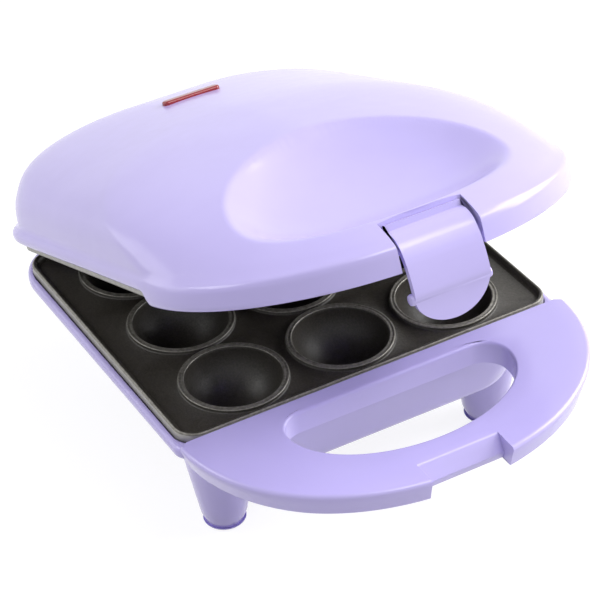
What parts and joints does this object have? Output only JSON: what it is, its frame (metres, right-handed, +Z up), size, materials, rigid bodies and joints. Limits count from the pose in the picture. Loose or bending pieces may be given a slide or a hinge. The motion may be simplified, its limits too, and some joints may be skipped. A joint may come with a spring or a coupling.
{
  "type": "cake pop maker",
  "caption": "Hinged two-plate cooker on short legs, with round cups for cake balls, a bowed front handle and a latch on its domed lid.",
  "frame": {"origin": "on the table under the middle of the part, with the lid ajar as stored", "axes": "+Z up, -Y towards the front handle and latch, +X to the right seen from the front"},
  "size_m": [0.174, 0.2451, 0.1534],
  "materials": {
    "casing": "gloss",
    "nonstick": "dark non-stick coating, satin",
    "heater_tube": "matt grey tube",
    "plated_steel": "zinc plated",
    "reflector_sheet": "plain sheet",
    "pale_plastic": "moulded",
    "dark_plastic": "moulded",
    "pad_rubber": "matt",
    "lens_red": "clear red, gloss",
    "lamp_glass": "clear"
  },
  "bodies": {
    "base": {"lower_casing": "casing", "lower_plate": "nonstick", "lower_element": "heater_tube", "lower_element_clamps": "plated_steel", "lower_clamp_screws": "plated_steel", "lower_reflector": "reflector_sheet", "lower_plate_screws": "plated_steel", "thermal_fuse": "plated_steel", "terminal_block": "pale_plastic", "cord_gland": "dark_plastic", "foot_pads": "pad_rubber", "hinge_pins": "plated_steel"},
    "lid": {"lid_casing": "casing", "upper_plate": "nonstick", "upper_element": "heater_tube", "upper_element_clamps": "plated_steel", "upper_clamp_screws": "plated_steel", "upper_reflector": "reflector_sheet", "upper_plate_screws": "plated_steel", "thermostat": "plated_steel", "indicator_lens": "lens_red", "lamp_holder": "dark_plastic", "neon_lamp": "lamp_glass", "latch_pin": "plated_steel"},
    "latch": {"latch": "casing"}
  },
  "joints": [
    {"name": "lid_hinge", "type": "hinge", "parent": "base", "child": "lid", "pos_m": [0, 0.0995, 0.055], "axis": [-1, 0, 0], "range_deg": [-21.5, 73.5]},
    {"name": "latch_pivot", "type": "hinge", "parent": "lid", "child": "latch", "pos_m": [0, -0.09577, 0.14589], "axis": [-1, 0, 0], "range_deg": [-13, 45]}
  ]
}
